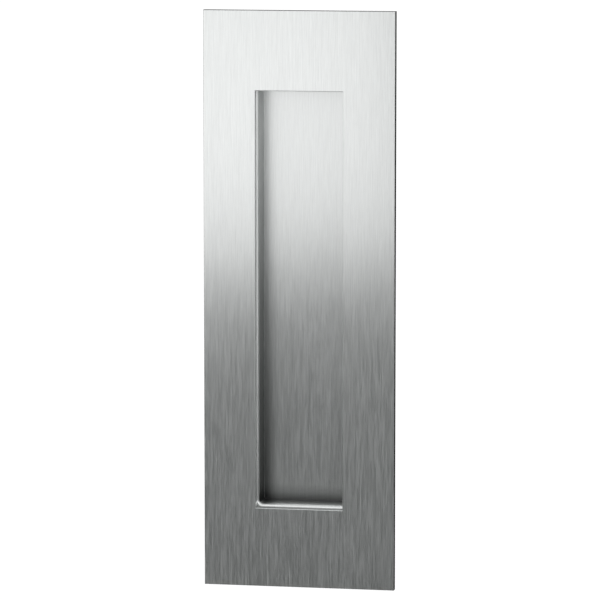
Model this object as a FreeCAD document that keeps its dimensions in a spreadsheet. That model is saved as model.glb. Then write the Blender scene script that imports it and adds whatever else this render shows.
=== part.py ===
import FreeCAD, Part
import math
import os
import Sketcher

# Rectangular flush pull for a pocket door, in millimetres.
# A flat brushed steel plate has a sharp-cornered window. A thin drawn tray stands behind the
# window: its flange lies flat on the back of the plate and is spot welded there, its mouth rolls
# over into four walls, and a tight bend leads from the walls to the floor that the fingers meet.
# The mouth is as large as the window, and the tray sits a little to the right of the window's
# middle and above it, so the rolled mouth shows along the left and the lower edge alone.
#
# Frame: +Z up the door, the front of the pull faces -Y, and +Y points into the door.
# The origin is the middle of the window, in the plane of the plate's back, which is the face of
# the door that the pull is let into.

doc = FreeCAD.newDocument("flush_pull")

# Driving sizes.
SIZES = [
    # The face plate and its window, and the rounding of their front edges.
    ("plate_width", 50.0),
    ("plate_height", 150.0),
    ("plate_thickness", 2.0),
    ("window_width", 22.9),
    ("window_height", 108.7),
    ("edge_break", 0.15),
    # The tray: its sheet, its depth below the front of the plate, and how far it sits to the
    # right of the window's middle and above it.
    ("tray_sheet", 0.5),
    ("recess_depth", 9.5),
    ("shift_right", 0.45),
    ("shift_up", 0.75),
    # Bends of the tray, each measured on the hollow side of the sheet: the corners between the
    # walls, the bend round the floor and the bend at the mouth.
    ("wall_corner", 0.9),
    ("floor_bend", 0.2),
    ("mouth_bend", 0.3),
    # The flange: how far it reaches past the mouth, and its own corners.
    ("flange_lap", 3.5),
    ("flange_corner", 3.0),
    # Spot weld marks: radius of the electrode's dome, depth of the dent, distance from the end of
    # the window to the first mark, and marks along each long side.
    ("weld_dome", 5.0),
    ("weld_dent", 0.1),
    ("weld_inset", 6.0),
    ("welds_on_side", 5),
]

sizes = doc.addObject("Spreadsheet::Sheet", "sizes")
for row, (alias, size) in enumerate(SIZES, start=1):
    sizes.set("A%d" % row, alias)
    sizes.set("B%d" % row, str(size))
    sizes.setAlias("B%d" % row, alias)
doc.recompute()

# Sizes that several features share, worked out from the sheet.
CLEAR_WIDTH = "sizes.window_width"
CLEAR_HEIGHT = "sizes.window_height"
CLEAR_DEPTH = "(sizes.recess_depth - sizes.plate_thickness)"
CUP_WIDTH = "(%s + 2 * sizes.tray_sheet)" % CLEAR_WIDTH
CUP_HEIGHT = "(%s + 2 * sizes.tray_sheet)" % CLEAR_HEIGHT
CUP_DEPTH = "(%s + sizes.tray_sheet)" % CLEAR_DEPTH
FLANGE_WIDTH = "(%s + 2 * sizes.flange_lap)" % CLEAR_WIDTH
FLANGE_HEIGHT = "(%s + 2 * sizes.flange_lap)" % CLEAR_HEIGHT

# Numbers by which a sketch knows the start, the end and the centre of a line or an arc.
START, END, CENTRE = 1, 2, 3
ORIGIN = (-1, START)
QUARTER_TURN = math.pi / 2

# Two lengths closer than this are the same.
NEAR = 1e-4


def value(expression):
    """The number that an expression over the sheet comes to."""
    return float(sizes.evalExpression(expression))


def origin_feature(body, role):
    """A plane or an axis of the body's own origin, found by its role."""
    for feature in body.Origin.OriginFeatures:
        if feature.Role == role:
            return feature
    raise RuntimeError("no %s in %s" % (role, body.Label))


def door_plane_sketch(body, name):
    """An empty sketch in the plane of the door face: +X across, +Z up, facing -Y."""
    sketch = body.newObject("Sketcher::SketchObject", name)
    sketch.AttachmentSupport = [(origin_feature(body, "XZ_Plane"), "")]
    sketch.MapMode = "FlatFace"
    return sketch


def bound_constraint(sketch, name, expression, *elements):
    """A dimension of the sketch that follows an expression over the sheet."""
    index = sketch.addConstraint(Sketcher.Constraint(*elements, value(expression)))
    sketch.renameConstraint(index, name)
    sketch.setExpression("Constraints.%s" % name, expression)


def level_and_upright(sketch, bottom, right, top, left):
    """Four sides that stay square to the frame."""
    for line in (bottom, top):
        sketch.addConstraint(Sketcher.Constraint("Horizontal", line))
    for line in (right, left):
        sketch.addConstraint(Sketcher.Constraint("Vertical", line))


def rectangle(body, name, width, height):
    """A sharp-cornered rectangle round the origin."""
    sketch = door_plane_sketch(body, name)
    x = value(width) / 2
    z = value(height) / 2
    corners = [(-x, -z), (x, -z), (x, z), (-x, z)]
    lines = []
    for index, corner in enumerate(corners):
        following = corners[(index + 1) % len(corners)]
        side = Part.LineSegment(FreeCAD.Vector(*corner, 0), FreeCAD.Vector(*following, 0))
        lines.append(sketch.addGeometry(side, False))
    for index, line in enumerate(lines):
        following = lines[(index + 1) % len(lines)]
        sketch.addConstraint(Sketcher.Constraint("Coincident", line, END, following, START))
    level_and_upright(sketch, *lines)
    bottom, right, top, _ = lines
    sketch.addConstraint(Sketcher.Constraint("Symmetric", bottom, START, top, START, *ORIGIN))
    bound_constraint(sketch, "width", width, "DistanceX", bottom, START, bottom, END)
    bound_constraint(sketch, "height", height, "DistanceY", right, START, right, END)
    return sketch


def rounded_rectangle(body, name, width, height, radius):
    """A rectangle round the origin with an arc at each corner."""
    sketch = door_plane_sketch(body, name)
    turn = value(radius)
    x = value(width) / 2
    z = value(height) / 2
    across = x - turn
    up = z - turn
    sides = [
        ((-across, -z), (across, -z)),
        ((x, -up), (x, up)),
        ((across, z), (-across, z)),
        ((-x, up), (-x, -up)),
    ]
    centres = [(across, -up), (across, up), (-across, up), (-across, -up)]
    facing_up = FreeCAD.Vector(0, 0, 1)
    lines = []
    arcs = []
    for index, (start, end) in enumerate(sides):
        side = Part.LineSegment(FreeCAD.Vector(*start, 0), FreeCAD.Vector(*end, 0))
        lines.append(sketch.addGeometry(side, False))
        circle = Part.Circle(FreeCAD.Vector(*centres[index], 0), facing_up, turn)
        angle = (index - 1) * QUARTER_TURN
        corner = Part.ArcOfCircle(circle, angle, angle + QUARTER_TURN)
        arcs.append(sketch.addGeometry(corner, False))
    for index, line in enumerate(lines):
        following = lines[(index + 1) % len(lines)]
        sketch.addConstraint(Sketcher.Constraint("Tangent", line, END, arcs[index], START))
        sketch.addConstraint(Sketcher.Constraint("Tangent", arcs[index], END, following, START))
    level_and_upright(sketch, *lines)
    for arc in arcs[1:]:
        sketch.addConstraint(Sketcher.Constraint("Equal", arcs[0], arc))
    lower_left, upper_right = arcs[3], arcs[1]
    sketch.addConstraint(
        Sketcher.Constraint("Symmetric", lower_left, CENTRE, upper_right, CENTRE, *ORIGIN)
    )
    bottom, right, top, left = lines
    bound_constraint(sketch, "radius", radius, "Radius", arcs[0])
    bound_constraint(sketch, "width", width, "DistanceX", left, START, right, START)
    bound_constraint(sketch, "height", height, "DistanceY", bottom, START, top, START)
    return sketch


def pad(body, name, sketch, length, into_door):
    """Metal added from the door plane, into the door (+Y) or out of it (-Y)."""
    feature = body.newObject("PartDesign::Pad", name)
    feature.Profile = sketch
    feature.Reversed = into_door
    feature.setExpression("Length", length)
    doc.recompute()


def pocket(body, name, sketch, length, into_door):
    """Metal cut away from the door plane, into the door (+Y) or out of it (-Y)."""
    whole = body.Shape.Volume
    feature = body.newObject("PartDesign::Pocket", name)
    feature.Profile = sketch
    feature.Reversed = not into_door
    feature.setExpression("Length", length)
    doc.recompute()
    removed = whole - body.Shape.Volume
    outlined = Part.makeFace(sketch.Shape, "Part::FaceMakerSimple").Area * value(length)
    if abs(removed - outlined) > NEAR * outlined:
        raise RuntimeError("%s removes %.3f, not %.3f" % (name, removed, outlined))


def outline_edges(shape, level, width, height):
    """Names of the edges in the plane y = level that lie on one outline round the origin.

    Each straight edge of the outline, and each arc at its corners, reaches half the width or
    half the height from the origin, and passes neither.
    """
    half_width = width / 2
    half_height = height / 2
    names = []
    for index, edge in enumerate(shape.Edges, start=1):
        box = edge.BoundBox
        if abs(box.YMin - level) > NEAR or abs(box.YMax - level) > NEAR:
            continue
        reach_x = max(abs(box.XMin), abs(box.XMax))
        reach_z = max(abs(box.ZMin), abs(box.ZMax))
        on_side = abs(reach_x - half_width) < NEAR and reach_z < half_height + NEAR
        on_end = abs(reach_z - half_height) < NEAR and reach_x < half_width + NEAR
        if on_side or on_end:
            names.append("Edge%d" % index)
    return names


def rounding(body, name, radius, level, width, height):
    """A fillet along the outline of this width and height in the plane y = level."""
    base = body.Tip
    edges = outline_edges(base.Shape, value(level), value(width), value(height))
    if not edges:
        raise RuntimeError("%s finds no edges" % name)
    feature = body.newObject("PartDesign::Fillet", name)
    feature.Base = (base, edges)
    feature.setExpression("Radius", radius)
    doc.recompute()


# Face plate, from the door plane out to its front, with its window cut through.
PLATE = ("sizes.plate_width", "sizes.plate_height")
WINDOW = ("sizes.window_width", "sizes.window_height")
FRONT = "-sizes.plate_thickness"

plate_body = doc.addObject("PartDesign::Body", "plate_body")
plate_outline = rectangle(plate_body, "plate_outline", *PLATE)
pad(plate_body, "plate", plate_outline, "sizes.plate_thickness", into_door=False)
window_outline = rectangle(plate_body, "window_outline", *WINDOW)
pocket(plate_body, "window", window_outline, "sizes.plate_thickness", into_door=False)
rounding(plate_body, "outer_edge_break", "sizes.edge_break", FRONT, *PLATE)
rounding(plate_body, "window_edge_break", "sizes.edge_break", FRONT, *WINDOW)

# Recess tray, from the door plane into the door. Its own origin is the middle of its mouth, and
# its place sets that origin off from the window's middle. The flange comes first.
tray = doc.addObject("PartDesign::Body", "recess_tray")
tray.setExpression("Placement.Base.x", "sizes.shift_right")
tray.setExpression("Placement.Base.z", "sizes.shift_up")
flange_outline = rounded_rectangle(
    tray, "flange_outline", FLANGE_WIDTH, FLANGE_HEIGHT, "sizes.flange_corner"
)
pad(tray, "flange", flange_outline, "sizes.tray_sheet", into_door=True)


def weld_mark(name):
    """A dished mark in the back of the flange, where the dome of an electrode pressed it."""
    mark = tray.newObject("PartDesign::SubtractiveSphere", name)
    mark.AttachmentSupport = [(origin_feature(tray, "XY_Plane"), "")]
    mark.MapMode = "FlatFace"
    mark.setExpression("Radius", "sizes.weld_dome")
    mark.setExpression(
        "AttachmentOffset.Base.y", "sizes.tray_sheet - sizes.weld_dent + sizes.weld_dome"
    )
    return mark


# Weld marks stand along the middle of the flat laps, in a row on each side and alone at each end.
# They are cut into the bare flange, before the walls rise through the electrodes' domes.
SIDE_LAP_MIDDLE = "(%s / 2 + %s / 2 + sizes.mouth_bend) / 2" % (FLANGE_WIDTH, CUP_WIDTH)
END_LAP_MIDDLE = "(%s / 2 + %s / 2 + sizes.mouth_bend) / 2" % (FLANGE_HEIGHT, CUP_HEIGHT)
WELD_RUN = "(sizes.window_height - 2 * sizes.weld_inset)"

side_mark = weld_mark("side_weld")
side_mark.setExpression("AttachmentOffset.Base.x", SIDE_LAP_MIDDLE)
side_mark.setExpression("AttachmentOffset.Base.z", "-%s / 2" % WELD_RUN)
doc.recompute()
side_marks = tray.newObject("PartDesign::MultiTransform", "side_welds")
side_marks.Originals = [side_mark]
along_side = tray.newObject("PartDesign::LinearPattern", "along_side")
along_side.Direction = (origin_feature(tray, "Z_Axis"), [""])
along_side.setExpression("Length", WELD_RUN)
along_side.setExpression("Occurrences", "sizes.welds_on_side")
both_sides = tray.newObject("PartDesign::Mirrored", "both_sides")
both_sides.MirrorPlane = (origin_feature(tray, "YZ_Plane"), [""])
side_marks.Transformations = [along_side, both_sides]
tray.Tip = side_marks
doc.recompute()

end_mark = weld_mark("end_weld")
end_mark.setExpression("AttachmentOffset.Base.z", END_LAP_MIDDLE)
doc.recompute()
end_marks = tray.newObject("PartDesign::Mirrored", "end_welds")
end_marks.Originals = [end_mark]
end_marks.MirrorPlane = (origin_feature(tray, "XY_Plane"), [""])
tray.Tip = end_marks
doc.recompute()

# The cup: a solid block with the bend round its floor, hollowed to leave the sheet.
cup_outline = rounded_rectangle(
    tray, "cup_outline", CUP_WIDTH, CUP_HEIGHT, "sizes.wall_corner + sizes.tray_sheet"
)
pad(tray, "cup", cup_outline, CUP_DEPTH, into_door=True)
rounding(
    tray,
    "floor_bend_behind",
    "sizes.floor_bend + sizes.tray_sheet",
    CUP_DEPTH,
    CUP_WIDTH,
    CUP_HEIGHT,
)
hollow_outline = rounded_rectangle(
    tray, "hollow_outline", CLEAR_WIDTH, CLEAR_HEIGHT, "sizes.wall_corner"
)
pocket(tray, "hollow", hollow_outline, CLEAR_DEPTH, into_door=True)
rounding(tray, "floor_bend", "sizes.floor_bend", CLEAR_DEPTH, CLEAR_WIDTH, CLEAR_HEIGHT)

# The sheet rolls over at the mouth, so the two sides of that bend share one centre line.
rounding(
    tray,
    "mouth_roll",
    "sizes.mouth_bend + sizes.tray_sheet",
    "0",
    CLEAR_WIDTH,
    CLEAR_HEIGHT,
)
rounding(
    tray, "mouth_bend_behind", "sizes.mouth_bend", "sizes.tray_sheet", CUP_WIDTH, CUP_HEIGHT
)

# The back of the plate is divided along the edge of the flange: the band inside that line
# carries the tray, and the ring outside it bears on the door.
flange_face = Part.makeFace(flange_outline.Shape, "Part::FaceMakerSimple")
flange_face.transformShape(tray.Placement.toMatrix())
divided, _ = plate_body.Shape.generalFuse([flange_face])
face_plate = doc.addObject("Part::Feature", "face_plate")
face_plate.Shape = divided.Solids[0]
face_plate.Placement = plate_body.Placement
doc.recompute()

# Everything is sound before anything is written.
for item in doc.Objects:
    if "Invalid" in item.State or "Error" in item.State:
        raise RuntimeError("%s failed: %s" % (item.Label, item.State))

SUB_PARTS = [face_plate, tray]
for part in SUB_PARTS:
    shape = part.Shape
    if shape.isNull() or not shape.isValid() or len(shape.Solids) != 1:
        raise RuntimeError("%s is not one sound solid" % part.Label)

os.makedirs("parts", exist_ok=True)
for part in SUB_PARTS:
    part.Shape.exportStep(os.path.join("parts", part.Label + ".step"))
    print("%s: %.1f cubic mm, %d faces" % (part.Label, part.Shape.Volume, len(part.Shape.Faces)))
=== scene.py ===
# %% [markdown]
# A flush pull in brushed steel
#
# The object is a pocket door pull: a flat plate with a sharp window, and a thin drawn tray
# behind it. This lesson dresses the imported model. It sets the camera where the photographer
# stood, gives both sheets their brushed finish, and builds the small studio that such steel
# needs, because nearly all that one sees in a metal is what stands in front of it.

# %% Load the fixed frame
import math

import bpy
import numpy as np
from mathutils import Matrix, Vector


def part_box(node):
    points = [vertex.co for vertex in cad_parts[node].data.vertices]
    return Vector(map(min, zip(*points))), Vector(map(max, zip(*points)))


mm = 0.001

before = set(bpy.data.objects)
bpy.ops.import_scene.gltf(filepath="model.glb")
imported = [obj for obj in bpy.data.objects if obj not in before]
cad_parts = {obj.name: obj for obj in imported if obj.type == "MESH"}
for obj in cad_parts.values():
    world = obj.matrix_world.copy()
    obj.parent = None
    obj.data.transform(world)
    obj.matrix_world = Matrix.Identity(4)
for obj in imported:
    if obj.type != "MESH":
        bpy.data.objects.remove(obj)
scene = bpy.context.scene
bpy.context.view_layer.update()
plate_low, plate_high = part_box("face_plate")
tray_low, tray_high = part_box("recess_tray")
print("plate", [round(size / mm, 2) for size in plate_high - plate_low], "mm")
print("tray", [round(size / mm, 2) for size in tray_high - tray_low], "mm")

# %% [markdown]
# The camera
#
# Product photographs of flat things are taken from far away with a long lens, so that the
# upright edges stay nearly parallel. Here they still lean together towards the foot, which
# says that the camera stood about a metre away, a little above the middle of the plate and
# a little to its right. The corners of the plate and of the window give its place to a few
# tenths of a degree, and a small shift puts the plate where it stands in the picture.

# %% Place the camera
CAMERA_AZIMUTH = 10.24
CAMERA_ELEVATION = 7.35
CAMERA_DISTANCE = 1.022
FOCAL_LENGTH_PIXELS = 3961.5
PICTURE_PIXELS = 600.0
PLATE_MIDDLE_PIXELS = (298.83, 301.70)
NEAREST_SEEN = 0.01
FURTHEST_SEEN = 100.0


def direction(azimuth, elevation):
    """Unit vector from the plate: azimuth in degrees from -Y towards +X, elevation upwards.

    Its parts are sin(azimuth) cos(elevation), -cos(azimuth) cos(elevation), sin(elevation).
    """
    turn = math.radians(azimuth)
    rise = math.radians(elevation)
    x = math.sin(turn) * math.cos(rise)
    y = -math.cos(turn) * math.cos(rise)
    return Vector((x, y, math.sin(rise)))


front_middle = Vector((0.0, plate_low.y, 0.0))
towards_camera = direction(CAMERA_AZIMUTH, CAMERA_ELEVATION)
camera_data = bpy.data.cameras.new("photo_camera")
camera_data.lens = camera_data.sensor_width * FOCAL_LENGTH_PIXELS / PICTURE_PIXELS
camera_data.shift_x = (PICTURE_PIXELS / 2 - PLATE_MIDDLE_PIXELS[0]) / PICTURE_PIXELS
camera_data.shift_y = (PLATE_MIDDLE_PIXELS[1] - PICTURE_PIXELS / 2) / PICTURE_PIXELS
camera_data.clip_start = NEAREST_SEEN
camera_data.clip_end = FURTHEST_SEEN
camera = bpy.data.objects.new("photo_camera", camera_data)
camera.location = front_middle + CAMERA_DISTANCE * towards_camera
camera.rotation_euler = towards_camera.to_track_quat("Z", "Y").to_euler()
scene.collection.objects.link(camera)
scene.camera = camera
print("lens", round(camera_data.lens, 1), "mm, camera at", [round(x, 3) for x in camera.location])

# %% [markdown]
# Nodes, one small helper at a time
#
# A material is a tree of nodes. The finish of this pull depends on where a point lies and on
# which way the sheet faces there: the flat faces shine, while the cut edges of the plate and
# the walls of the tray are painted darker, a painted shade. So the helpers below turn a place
# or a normal, both in the object's own frame, into a mask that runs from 0 to 1.

# %% Materials and nodes


def new_material(name):
    """A material with an empty node tree, and its output node."""
    material = bpy.data.materials.new(name)
    material.use_nodes = True
    material.node_tree.nodes.clear()
    output = material.node_tree.nodes.new("ShaderNodeOutputMaterial")
    return material, output


def node(tree, kind, **settings):
    """A node of this kind with some of its settings given."""
    made = tree.nodes.new(kind)
    for name, value in settings.items():
        setattr(made, name, value)
    return made


# %% Values worked out from other values


def math_node(tree, operation, first, second=0.0):
    """The result of a sum on two values, each a number or another node's output."""
    made = node(tree, "ShaderNodeMath", operation=operation)
    for index, value in enumerate((first, second)):
        if isinstance(value, (int, float)):
            made.inputs[index].default_value = value
        else:
            tree.links.new(value, made.inputs[index])
    return made.outputs[0]


def ranged(tree, value, low, high, start, end, kind="LINEAR"):
    """A value that goes from low to high while another goes from start to end."""
    made = node(tree, "ShaderNodeMapRange", interpolation_type=kind)
    tree.links.new(value, made.inputs["Value"])
    made.inputs["From Min"].default_value = start
    made.inputs["From Max"].default_value = end
    made.inputs["To Min"].default_value = low
    made.inputs["To Max"].default_value = high
    return made.outputs[0]


def all_of(tree, *masks):
    """1 where every mask is 1: their product."""
    product = masks[0]
    for mask in masks[1:]:
        product = math_node(tree, "MULTIPLY", product, mask)
    return product


def blend(tree, mask, plain, masked):
    """One value where the mask is 0 and another where it is 1; each is a number or an output."""
    keep = math_node(tree, "SUBTRACT", 1.0, mask)
    first = math_node(tree, "MULTIPLY", keep, plain)
    second = math_node(tree, "MULTIPLY", mask, masked)
    return math_node(tree, "ADD", first, second)


# %% Where a point lies and which way the sheet faces there
LEVEL_SHARE = 0.7


def part_of(tree, output, axis):
    """One part of the object coordinates, or of the normal in the object's own frame."""
    place = node(tree, "ShaderNodeTexCoord")
    split = node(tree, "ShaderNodeSeparateXYZ")
    tree.links.new(place.outputs[output], split.inputs[0])
    return split.outputs[axis]


def size_of(tree, value):
    """A value without its sign."""
    return math_node(tree, "ABSOLUTE", value)


def level(tree):
    """1 where the sheet faces up or down, to within 45 degrees, and 0 elsewhere."""
    share = size_of(tree, part_of(tree, "Normal", "Z"))
    return math_node(tree, "GREATER_THAN", share, LEVEL_SHARE)


def sideways(tree, start, end):
    """0 where the sheet faces the front or the back, and 1 where it faces across them.

    The share of the normal that points along Y, without its sign, runs from start down to end.
    """
    share = size_of(tree, part_of(tree, "Normal", "Y"))
    return ranged(tree, share, 1.0, 0.0, end, start, "SMOOTHSTEP")


# %% [markdown]
# Brushed steel
#
# An abrasive belt leaves fine grooves that all run the same way. Here it ran up and down the
# plate, and the tray was drawn from sheet brushed the same way, so its grooves climb over the
# bends and run into the depth on the bottom and top walls. Each groove is a little deeper or
# duller than its neighbour, and changes along its run. A stretched noise would smear
# neighbours into one another and look like wood. So the distance across the sheet is counted
# in whole grooves, and each groove reads its own line of the noise.

# %% Streaks that follow the grooves
GROOVE_WIDTH = 0.15 * mm
GROOVES_ALONG = 130.0
NEXT_GROOVE = 17.31
NOISE_OCTAVES = 3.0
NOISE_FINENESS = 0.6


def groove_number(tree, distance):
    """The distance in whole grooves, times the step between neighbours."""
    count = math_node(tree, "FLOOR", math_node(tree, "DIVIDE", distance, GROOVE_WIDTH))
    return math_node(tree, "MULTIPLY", count, NEXT_GROOVE)


def groove_coordinates(tree):
    """Coordinates in which every groove reads a noise of its own along its run.

    The distance across the sheet (X) is counted in grooves, and so is the depth (Y) where the
    sheet faces sideways. The step between counts is so long that neighbours have nothing in
    common. The way along is the height (Z), plus the depth where the sheet faces up or down,
    since there the grooves run into the depth.
    """
    flat = level(tree)
    depth = part_of(tree, "Object", "Y")
    side_depth = math_node(tree, "MULTIPLY", depth, math_node(tree, "SUBTRACT", 1.0, flat))
    level_depth = math_node(tree, "MULTIPLY", depth, flat)
    run = math_node(tree, "ADD", part_of(tree, "Object", "Z"), level_depth)
    across = groove_number(tree, part_of(tree, "Object", "X"))
    joined = node(tree, "ShaderNodeCombineXYZ")
    tree.links.new(across, joined.inputs["X"])
    tree.links.new(groove_number(tree, side_depth), joined.inputs["Y"])
    tree.links.new(math_node(tree, "MULTIPLY", run, GROOVES_ALONG), joined.inputs["Z"])
    return joined.outputs[0]


def groove_noise(tree):
    """A value for each point of each groove, mostly between 0.25 and 0.75."""
    noise = node(tree, "ShaderNodeTexNoise", noise_dimensions="3D")
    noise.inputs["Scale"].default_value = 1.0
    noise.inputs["Detail"].default_value = NOISE_OCTAVES
    noise.inputs["Roughness"].default_value = NOISE_FINENESS
    tree.links.new(groove_coordinates(tree), noise.inputs["Vector"])
    return noise.outputs["Fac"]


# %% [markdown]
# The grooves do three things to the steel. They blur what it mirrors, and Roughness says how
# far. The duller ones are a shade darker. And their torn edges scatter some light all ways:
# a Metallic below 1 does that, and it shows as pale streaks where the steel mirrors something
# dark, while it hardly shows in the bright part, just as in the photograph.

# %% The brushed finish
STEEL = (0.800, 0.816, 0.810)
BRUSHED_ROUGHNESS = 0.29
STREAK_TINT = 0.16
STREAK_ROUGHNESS = 0.1
NOISE_LOW = 0.25
NOISE_HIGH = 0.75
HAZE_START = 0.4


def varied(tree, streak, middle, share):
    """A value that swings round its middle with the streaks, by half a share each way."""
    low = middle * (1 - share / 2)
    high = middle * (1 + share / 2)
    return ranged(tree, streak, low, high, NOISE_LOW, NOISE_HIGH)


def brushed_steel(name, finishes, haze):
    """Steel with streaks along the grooves, and faces painted darker as painted shade.

    Finishes is a function of the node tree. It gives a list of masks, each with the brightness
    and the roughness that the steel has where the mask is 1. The duller streaks scatter some
    light all ways, up to the share haze.
    """
    material, output = new_material(name)
    tree = material.node_tree
    streak = groove_noise(tree)
    brightness = varied(tree, streak, 1.0, STREAK_TINT)
    roughness = varied(tree, streak, BRUSHED_ROUGHNESS, STREAK_ROUGHNESS)
    metal = ranged(tree, streak, 1.0, 1.0 - haze, HAZE_START, NOISE_HIGH)
    for mask, face_brightness, face_roughness in finishes(tree):
        # Where a mask is 1 the brightness is painted darker: painted shade.
        painted_darker = math_node(tree, "MULTIPLY", brightness, face_brightness)
        brightness = blend(tree, mask, brightness, painted_darker)
        roughness = blend(tree, mask, roughness, face_roughness)
        metal = blend(tree, mask, metal, 1.0)
    tint = node(tree, "ShaderNodeVectorMath", operation="SCALE")
    tint.inputs[0].default_value = STEEL
    tree.links.new(brightness, tint.inputs["Scale"])
    surface = node(tree, "ShaderNodeBsdfPrincipled")
    tree.links.new(tint.outputs[0], surface.inputs["Base Color"])
    tree.links.new(metal, surface.inputs["Metallic"])
    tree.links.new(roughness, surface.inputs["Roughness"])
    tree.links.new(surface.outputs[0], output.inputs["Surface"])
    print(name, "has", len(tree.nodes), "nodes")
    return material


# %% [markdown]
# The plate
#
# The plate is sheet 2 mm thick, cut with clean edges that are just broken. The belt never
# touches a cut face, and a cut face is seen at a glancing angle, where it mirrors the dark
# behind the pull: the outer edge shows as a thin dark line down the right side. The outer edge
# is painted nearly black as well, a painted shade that brings that line out. The cut faces that
# face up or down are rougher and painted darker, a painted shade. The broken corners round the
# outside are painted dark too, a painted shade that keeps them from glinting beside the line.

# %% The plate's finish
PLATE_HAZE = 0.19
CUT_FACE = (0.6, 0.3)
# The level cut faces are rougher, and painted darker as a painted shade.
CUT_PAINTED_SHADE = 0.35
CUT_ROUGHNESS = 0.45
BROKEN_EDGE = (0.95, 0.75)
# The broken outer corners are painted dark, a painted shade over their glint.
EDGE_PAINTED_SHADE = 0.2
# The outer edge is painted nearly black, a painted shade.
RIM_PAINTED_SHADE = 0.1
RIM_ROUGHNESS = 0.2
RIM_WIDTH = 0.2 * mm
plate_half = (plate_high.x, plate_high.z)


def outer_rim(tree):
    """1 on the outer edges of the plate, and 0 inside them.

    Across and up, each distance from the origin is held against half the plate's size.
    """
    rims = []
    for axis, half in zip("XZ", plate_half):
        reach = size_of(tree, part_of(tree, "Object", axis))
        rims.append(math_node(tree, "GREATER_THAN", reach, half - RIM_WIDTH))
    return math_node(tree, "MAXIMUM", *rims)


def plate_finishes(tree):
    """The cut faces that face up or down, the broken outer corners, and the outer edges, all
    painted darker as painted shade.
    """
    cut = sideways(tree, *CUT_FACE)
    broken = sideways(tree, *BROKEN_EDGE)
    outer = outer_rim(tree)
    return [
        (all_of(tree, cut, level(tree)), CUT_PAINTED_SHADE, CUT_ROUGHNESS),
        (all_of(tree, broken, outer), EDGE_PAINTED_SHADE, BRUSHED_ROUGHNESS),
        (all_of(tree, cut, outer), RIM_PAINTED_SHADE, RIM_ROUGHNESS),
    ]


plate_steel = brushed_steel("brushed_plate_steel", plate_finishes, PLATE_HAZE)

# %% [markdown]
# The tray
#
# The tray is thin sheet drawn over a rounded edge. Its rolled mouth stays bright and shows as
# a white line along the foot of the window. The walls below it are painted a little darker than
# the floor, a painted shade. Towards its left and lower walls the floor falls off into shade,
# further than the cards of this studio bring about, and more so towards the foot. That rest of
# the shade is painted shade: the finish is painted darker close to these walls, on the inside
# alone. The bends at the bottom of the lower and upper walls are so tight that they would glint
# as a hard line, so they are painted darker too, a painted shade that hides that glint.

# %% The inside of the tray
FLANGE_LAP = 3.5 * mm
SHEET = 0.5 * mm
tray_middle = (tray_low + tray_high) / 2
tray_half = (tray_high - tray_low) / 2
clear_middle = (tray_middle.x, tray_middle.z)
clear_half = (tray_half.x - FLANGE_LAP, tray_half.z - FLANGE_LAP)
clear_floor = tray_high.y - SHEET
left_wall, lower_wall = (middle - half for middle, half in zip(clear_middle, clear_half))
print("clear inside", [round(2 * half / mm, 2) for half in clear_half], "mm")


def inside_tray(tree):
    """1 on the faces that one sees from the front, and 0 on the tray's back.

    The border runs through the middle of the sheet, between its two faces.
    """
    depth = part_of(tree, "Object", "Y")
    within = [math_node(tree, "LESS_THAN", depth, clear_floor + SHEET / 2)]
    for axis, middle, half in zip("XZ", clear_middle, clear_half):
        offset = math_node(tree, "SUBTRACT", part_of(tree, "Object", axis), middle)
        within.append(math_node(tree, "LESS_THAN", size_of(tree, offset), half + SHEET / 2))
    return all_of(tree, *within)


# %% The tray's walls and bends
WALL_FACE = (0.995, 0.97)
# The tray's walls are painted a little darker than its floor, a painted shade.
WALL_PAINTED_SHADE = 0.8
WALL_ROUGHNESS = 0.29
WALL_START = 0.8 * mm
WALL_END = 1.8 * mm
LEVEL_WALL_END = 5.0 * mm
BEND_FACE = (0.999, 0.99)
# The bends at the floor are painted darker, a painted shade that hides their glint.
BEND_PAINTED_SHADE = 0.45
BEND_START = clear_floor - 0.3 * mm
BEND_END = clear_floor - 0.2 * mm


def below_mouth(tree):
    """0 on the rolled mouth and the back, and 1 inside the tray below the mouth.

    It sets in over a longer way on the walls that face up or down, where the photograph's
    rolled mouth fades slowly into the wall.
    """
    depth = part_of(tree, "Object", "Y")
    near = ranged(tree, depth, 0.0, 1.0, WALL_START, WALL_END)
    far = ranged(tree, depth, 0.0, 1.0, WALL_START, LEVEL_WALL_END)
    return all_of(tree, inside_tray(tree), blend(tree, level(tree), near, far))


def level_bends(tree):
    """1 on the bends at the floor that lean more up or down than to a side."""
    depth = part_of(tree, "Object", "Y")
    at_floor = ranged(tree, depth, 0.0, 1.0, BEND_START, BEND_END)
    tilts = [size_of(tree, part_of(tree, "Normal", axis)) for axis in "ZX"]
    steep = math_node(tree, "GREATER_THAN", *tilts)
    return all_of(tree, sideways(tree, *BEND_FACE), inside_tray(tree), at_floor, steep)


# %% The painted shade in the tray's corners, and its whole finish
TRAY_HAZE = 0.24
SHADE_REACH = 4.5 * mm
SHADE_FOOT = -60.0 * mm
SHADE_HEAD = 45.0 * mm
# How dark the corners of the tray are painted: painted shade.
PAINTED_SHADE_BRIGHTNESS = 0.3


def shade_from(tree, place, wall):
    """1 at a wall and 0 from the reach of the shade on, along one coordinate."""
    return ranged(tree, place, 1.0, 0.0, wall, wall + SHADE_REACH, "SMOOTHSTEP")


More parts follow.
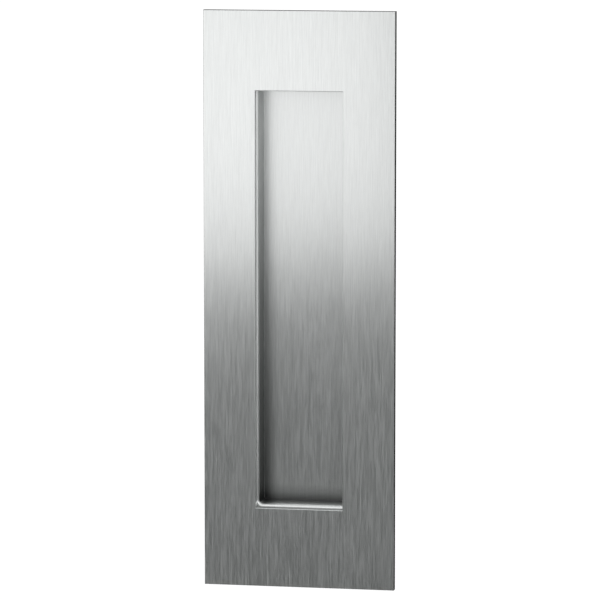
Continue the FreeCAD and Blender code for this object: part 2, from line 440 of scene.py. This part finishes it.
def tray_finishes(tree):
    """The walls, the level bends, and the shade at the left wall and at the lower wall, all
    painted shade.

    The painted shade at the left wall grows from nothing at its head to its full depth at its
    foot.
    """
    below = below_mouth(tree)
    height = part_of(tree, "Object", "Z")
    growing = ranged(tree, height, 1.0, 0.0, SHADE_FOOT, SHADE_HEAD)
    at_left = shade_from(tree, part_of(tree, "Object", "X"), left_wall)
    at_foot = shade_from(tree, height, lower_wall)
    walls = sideways(tree, *WALL_FACE)
    return [
        (all_of(tree, walls, below), WALL_PAINTED_SHADE, WALL_ROUGHNESS),
        (level_bends(tree), BEND_PAINTED_SHADE, WALL_ROUGHNESS),
        (all_of(tree, at_left, growing, below), PAINTED_SHADE_BRIGHTNESS, WALL_ROUGHNESS),
        (all_of(tree, at_foot, below), PAINTED_SHADE_BRIGHTNESS, WALL_ROUGHNESS),
    ]


tray_steel = brushed_steel("brushed_tray_steel", tray_finishes, TRAY_HAZE)

# %% Dress the two sheets


def dress(name, material):
    """Give a node of the frame its finish."""
    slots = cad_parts[name].data.materials
    slots.clear()
    slots.append(material)
    print(name, "wears", material.name)


dress("face_plate", plate_steel)
dress("recess_tray", tray_steel)

# %% [markdown]
# The studio
#
# The background is a pale floor under a white room. The floor lies well below the pull, which
# seems to float in the photograph, and it gives a little light of its own to the lens, so that
# it comes out white while it still keeps a shadow.

# %% White room
WHITE = (1.0, 1.0, 1.0, 1.0)

scene.view_settings.view_transform = "Standard"
world = bpy.data.worlds.new("white_room")
world.use_nodes = True
world.node_tree.nodes.clear()
air = node(world.node_tree, "ShaderNodeBackground")
air.inputs["Color"].default_value = WHITE
air.inputs["Strength"].default_value = 1.0
sky = node(world.node_tree, "ShaderNodeOutputWorld")
world.node_tree.links.new(air.outputs[0], sky.inputs["Surface"])
scene.world = world
print("world", world.name)

# %% Cards


def card(name, lower_left, lower_right, upper_left, upper_right):
    """A flat sheet between four corners, named as one who stands before it sees them.

    Each point of its grid is a blend of the corners: across goes from left to right, up goes
    from the lower edge to the upper, and each corner weighs by how near both are to it.
    """
    across, up = (part.reshape(-1, 1) for part in np.meshgrid((0.0, 1.0), (0.0, 1.0)))
    lower = (1 - across) * np.array(lower_left) + across * np.array(lower_right)
    upper = (1 - across) * np.array(upper_left) + across * np.array(upper_right)
    points = (1 - up) * lower + up * upper
    mesh = bpy.data.meshes.new(name)
    mesh.from_pydata(points.tolist(), [], [(0, 1, 3, 2)])
    sheet = bpy.data.objects.new(name, mesh)
    scene.collection.objects.link(sheet)
    return sheet


def lying_card(name, left, right, front, back, height):
    """A card that lies level and faces up."""
    corners = [(x, y, height) for y in (front, back) for x in (left, right)]
    return card(name, *corners)


# %% A pale floor
FLOOR_DROP = 0.3
FLOOR_REACH = 30.0
FLOOR_PAPER = (0.86, 0.86, 0.86, 1.0)
FLOOR_GLOW = 0.2


def matte(name, colour, glow):
    """Matte paint that also gives a little light of its own to lens and mirror rays."""
    material, output = new_material(name)
    tree = material.node_tree
    paint = node(tree, "ShaderNodeBsdfDiffuse")
    paint.inputs["Color"].default_value = colour
    rays = node(tree, "ShaderNodeLightPath").outputs
    seen = math_node(tree, "MAXIMUM", rays["Is Camera Ray"], rays["Is Glossy Ray"])
    light = node(tree, "ShaderNodeEmission")
    tree.links.new(math_node(tree, "MULTIPLY", seen, glow), light.inputs["Strength"])
    sum_of_both = node(tree, "ShaderNodeAddShader")
    tree.links.new(paint.outputs[0], sum_of_both.inputs[0])
    tree.links.new(light.outputs[0], sum_of_both.inputs[1])
    tree.links.new(sum_of_both.outputs[0], output.inputs["Surface"])
    return material


floor_level = plate_low.z - FLOOR_DROP
floor = lying_card("floor", -FLOOR_REACH, FLOOR_REACH, -FLOOR_REACH, FLOOR_REACH, floor_level)
floor.data.materials.append(matte("floor_paper", FLOOR_PAPER, FLOOR_GLOW))
print("floor at", round(floor_level, 3), "m")

# %% [markdown]
# Cards do the rest, out of the picture. A soft light stands close in front of the plate, a
# little to the left: the upper part of the plate mirrors it, and its lower edge, blurred by the
# grooves, is the long gradient in the middle. Below it the plate mirrors a grey wall. A bright
# card on the right lights the rolled mouth of the tray, and black cards keep the outer edge and
# the underside dark. Only mirror rays can see these cards, so they change what the steel
# mirrors and nothing else: the floor stays lit by the white room alone.

# %% Cards that only the steel sees


def glowing(name, strength):
    """A plain even light, with one strength each for red, green and blue."""
    material, output = new_material(name)
    glow = node(material.node_tree, "ShaderNodeEmission")
    glow.inputs["Strength"].default_value = 1.0
    glow.inputs["Color"].default_value = (*strength, 1.0)
    material.node_tree.links.new(glow.outputs[0], output.inputs["Surface"])
    return material


def only_reflected(sheet, strength):
    """Make a card glow for the steel that mirrors it, but not for the lens or the floor.

    The strength is one number, or three for red, green and blue.
    """
    if isinstance(strength, float):
        strength = (strength, strength, strength)
    sheet.data.materials.append(glowing(sheet.name + "_paper", strength))
    sheet.visible_camera = False
    sheet.visible_diffuse = False
    sheet.visible_shadow = False
    print(sheet.name, "has the strength", strength)


def card_across(name, strength, left, right, bottom, top, y):
    """An upright card across the view, in front of the pull where y is negative.

    The bottom is one height, or two where the lower edge slants: at the left and at the right.
    """
    at_left, at_right = bottom if isinstance(bottom, tuple) else (bottom, bottom)
    corners = ((left, at_left), (right, at_right), (left, top), (right, top))
    only_reflected(card(name, *((x, y, z) for x, z in corners)), strength)


def card_beside(name, strength, front, back, bottom, top, x):
    """An upright card along the side of the pull, to its right where x is positive."""
    corners = [(x, y, z) for z in (bottom, top) for y in (front, back)]
    only_reflected(card(name, *corners), strength)


# %% The soft light and the grey wall in front of the pull
LIGHT = 1.12
LIGHT_LEFT = -0.5
LIGHT_RIGHT = 0.018
LIGHT_BOTTOM = (-0.045, -0.0055)
LIGHT_TOP = 0.1
LIGHT_FRONT = -0.137
GREY = (0.180, 0.185, 0.183)
ROOM_LEFT = -1.6
ROOM_RIGHT = 1.2
ROOM_FRONT = -1.12
WALL_TOP = 0.5

card_across("soft_light", LIGHT, LIGHT_LEFT, LIGHT_RIGHT, LIGHT_BOTTOM, LIGHT_TOP, LIGHT_FRONT)
card_across("grey_wall", GREY, ROOM_LEFT, ROOM_RIGHT, floor_level, WALL_TOP, ROOM_FRONT)

# %% A black card and a grey wall behind the pull
BLACK = 0.02
FAR_GREY = 0.45
FAR_REACH = 3.0

card_across("back_card", BLACK, left=-0.13, right=0.16, bottom=-0.22, top=0.18, y=0.3)
card_across("far_wall", FAR_GREY, -FAR_REACH, FAR_REACH, floor_level, top=1.0, y=1.2)

# %% Walls, a bright card and a black mat beside the pull
SIDE_LIGHT = 1.35
SIDE_LIGHT_BOTTOM = -0.13
SIDE_LIGHT_PLACE = 0.9
SIDE_WALL_PLACE = 0.91
SIDE_BACK = -0.05
MAT_FRONT = -1.1
MAT_BACK = -0.1

card_beside("left_wall", GREY, ROOM_FRONT, SIDE_BACK, floor_level, WALL_TOP, ROOM_LEFT)
card_beside(
    "side_light", SIDE_LIGHT, ROOM_FRONT, SIDE_BACK, SIDE_LIGHT_BOTTOM, WALL_TOP, SIDE_LIGHT_PLACE
)
card_beside(
    "side_wall", BLACK, ROOM_FRONT, SIDE_BACK, floor_level, SIDE_LIGHT_BOTTOM, SIDE_WALL_PLACE
)
mat_level = floor_level + mm
mat = lying_card("black_mat", ROOM_LEFT, ROOM_RIGHT, MAT_FRONT, MAT_BACK, mat_level)
only_reflected(mat, BLACK)
